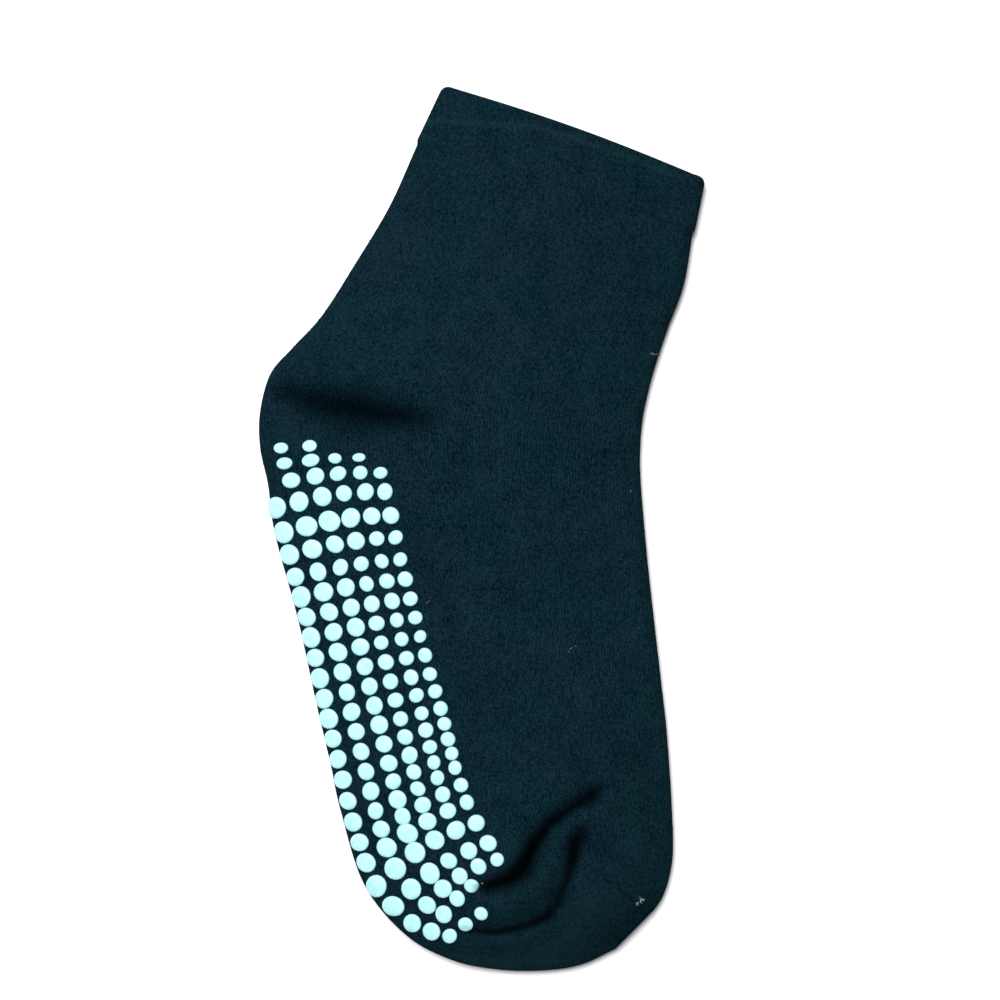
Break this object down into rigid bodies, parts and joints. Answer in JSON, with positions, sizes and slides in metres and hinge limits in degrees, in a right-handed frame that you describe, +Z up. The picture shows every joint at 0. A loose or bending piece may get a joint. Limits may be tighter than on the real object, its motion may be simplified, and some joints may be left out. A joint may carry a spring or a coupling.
{
  "type": "slipper sock",
  "caption": "Child's knitted ankle slipper sock with a turned cuff and a printed stud grip sole, lying slack on its side.",
  "frame": {"origin": "bottom centre of the bounding box, on the floor the sock lies on", "axes": "+X along the foot to the toe, +Y across the foot to the instep, +Z up from the floor"},
  "size_m": [0.213, 0.1165, 0.0175],
  "materials": {
    "knit": "soft knitted cotton",
    "grip_print": "satin"
  },
  "bodies": {
    "root": {"knit_upper": "knit", "grip_sole": "grip_print"}
  },
  "joints": []
}
